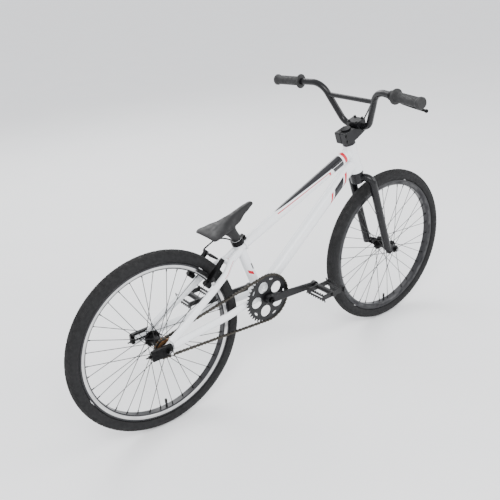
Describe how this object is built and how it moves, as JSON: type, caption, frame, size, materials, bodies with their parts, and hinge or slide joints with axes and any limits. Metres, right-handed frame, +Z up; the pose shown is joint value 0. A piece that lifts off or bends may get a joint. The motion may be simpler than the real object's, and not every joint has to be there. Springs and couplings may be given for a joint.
{
  "type": "bmx bike",
  "caption": "Rigid race bicycle with a low straight-tube frame, high-rise crossbar handlebar, slim saddle, single-speed chain drive, platform pedals and a rear rim brake.",
  "frame": {"origin": "centre of the bottom of the whole bike box, on the ground", "axes": "+X ahead, +Y to the rider's left, +Z up"},
  "size_m": [1.6078, 0.6784, 0.9585],
  "materials": {
    "frame_white": "gloss white paint",
    "black_paint": "gloss black paint",
    "black_alloy": "black anodised",
    "silver_alloy": "machined",
    "steel": "zinc plated",
    "dark_steel": "black oxide",
    "tyre_rubber": "fine tread",
    "soft_rubber": "moulded",
    "black_plastic": "moulded",
    "cog_brown": "browned"
  },
  "bodies": {
    "frame": {"head_tube": "frame_white", "bottom_bracket_shell": "frame_white", "seat_tube": "frame_white", "down_tube": "frame_white", "top_tube": "frame_white", "chain_stays": "frame_white", "seat_stays": "frame_white", "rear_dropouts": "frame_white", "headset_bearings": "steel", "bottom_bracket_bearings": "steel", "chain_tensioners": "black_alloy", "rear_axle": "steel", "seat_collar": "black_alloy", "frame_fasteners": "steel", "brake_cable_front": "soft_rubber", "brake_cable_frame": "soft_rubber", "brake_cable_rear": "soft_rubber", "cable_clips": "black_plastic", "chain": "dark_steel"},
    "steering": {"fork_steerer": "black_paint", "fork_leg_left": "black_paint", "fork_leg_right": "black_paint", "front_axle": "steel", "headset_spacers": "black_alloy", "stem": "black_alloy", "stem_clamp_plate": "black_alloy", "steering_fasteners": "steel", "handlebar": "black_paint", "grip_left": "soft_rubber", "grip_right": "soft_rubber", "brake_lever_perch": "black_alloy"},
    "brake_lever": {"brake_lever": "black_alloy"},
    "front_wheel": {"front_tyre": "tyre_rubber", "front_inner_tube": "soft_rubber", "front_rim": "black_alloy", "front_spokes": "dark_steel", "front_hub": "black_alloy", "front_hub_bearings": "steel"},
    "rear_wheel": {"rear_tyre": "tyre_rubber", "rear_inner_tube": "soft_rubber", "rear_rim": "silver_alloy", "rear_spokes": "dark_steel", "rear_hub": "black_alloy", "rear_hub_bearings": "steel"},
    "freewheel": {"freewheel_cog": "cog_brown"},
    "crankset": {"crank_spindle": "dark_steel", "crank_arm_left": "black_paint", "crank_arm_right": "black_paint", "chainring": "black_paint", "crank_bolts": "steel", "pedal_axles": "dark_steel"},
    "pedal_left": {"pedal_left": "black_plastic"},
    "pedal_right": {"pedal_right": "black_plastic"},
    "brake_arm_left": {"brake_arm_left": "black_alloy", "brake_pad_left": "soft_rubber", "brake_noodle": "steel"},
    "brake_arm_right": {"brake_arm_right": "black_alloy", "brake_pad_right": "soft_rubber"},
    "saddle_post": {"saddle": "black_plastic", "seat_post": "black_plastic"}
  },
  "joints": [
    {"name": "steer", "type": "hinge", "parent": "frame", "child": "steering", "pos_m": [0.31711, 0, 0.74204], "axis": [-0.284, 0, 0.9588], "range_deg": [-60, 60], "deforming": ["brake_cable_front"]},
    {"name": "brake_squeeze", "type": "hinge", "parent": "steering", "child": "brake_lever", "pos_m": [0.32111, -0.20761, 0.91563], "axis": [-0.6711, 0.1155, -0.7323], "range_deg": [0, 9]},
    {"name": "brake_left_close", "type": "hinge", "parent": "frame", "child": "brake_arm_left", "pos_m": [-0.31176, 0.047, 0.42577], "axis": [0.6755, 0, -0.7373], "range_deg": [0, 2.5], "deforming": ["brake_cable_rear"]},
    {"name": "brake_right_close", "type": "hinge", "parent": "frame", "child": "brake_arm_right", "pos_m": [-0.31176, -0.047, 0.42577], "axis": [-0.6755, 0, 0.7373], "range_deg": [0, 2.5]},
    {"name": "front_wheel_spin", "type": "hinge", "parent": "steering", "child": "front_wheel", "pos_m": [0.506, 0, 0.298], "axis": [0, 1, 0], "continuous": true},
    {"name": "rear_wheel_spin", "type": "hinge", "parent": "frame", "child": "rear_wheel", "pos_m": [-0.506, 0, 0.298], "axis": [0, 1, 0], "continuous": true},
    {"name": "crank_spin", "type": "hinge", "parent": "frame", "child": "crankset", "pos_m": [-0.10641, 0, 0.317], "axis": [0, 1, 0], "continuous": true, "deforming": ["chain"]},
    {"name": "freewheel_spin", "type": "hinge", "parent": "frame", "child": "freewheel", "pos_m": [-0.506, 0, 0.298], "axis": [0, 1, 0], "continuous": true},
    {"name": "pedal_left_spin", "type": "hinge", "parent": "crankset", "child": "pedal_left", "pos_m": [-0.28141, 0.072, 0.317], "axis": [0, 1, 0], "continuous": true},
    {"name": "pedal_right_spin", "type": "hinge", "parent": "crankset", "child": "pedal_right", "pos_m": [0.06859, -0.072, 0.317], "axis": [0, 1, 0], "continuous": true},
    {"name": "seat_height", "type": "slide", "parent": "frame", "child": "saddle_post", "axis": [-0.3256, 0, 0.9455], "range_m": [0, 0.08]}
  ],
  "couplings": [
    {"joint": "brake_left_close", "follows": "brake_squeeze", "ratio": 0.27},
    {"joint": "brake_right_close", "follows": "brake_squeeze", "ratio": 0.27},
    {"joint": "freewheel_spin", "follows": "crank_spin", "ratio": 2.5625}
  ]
}
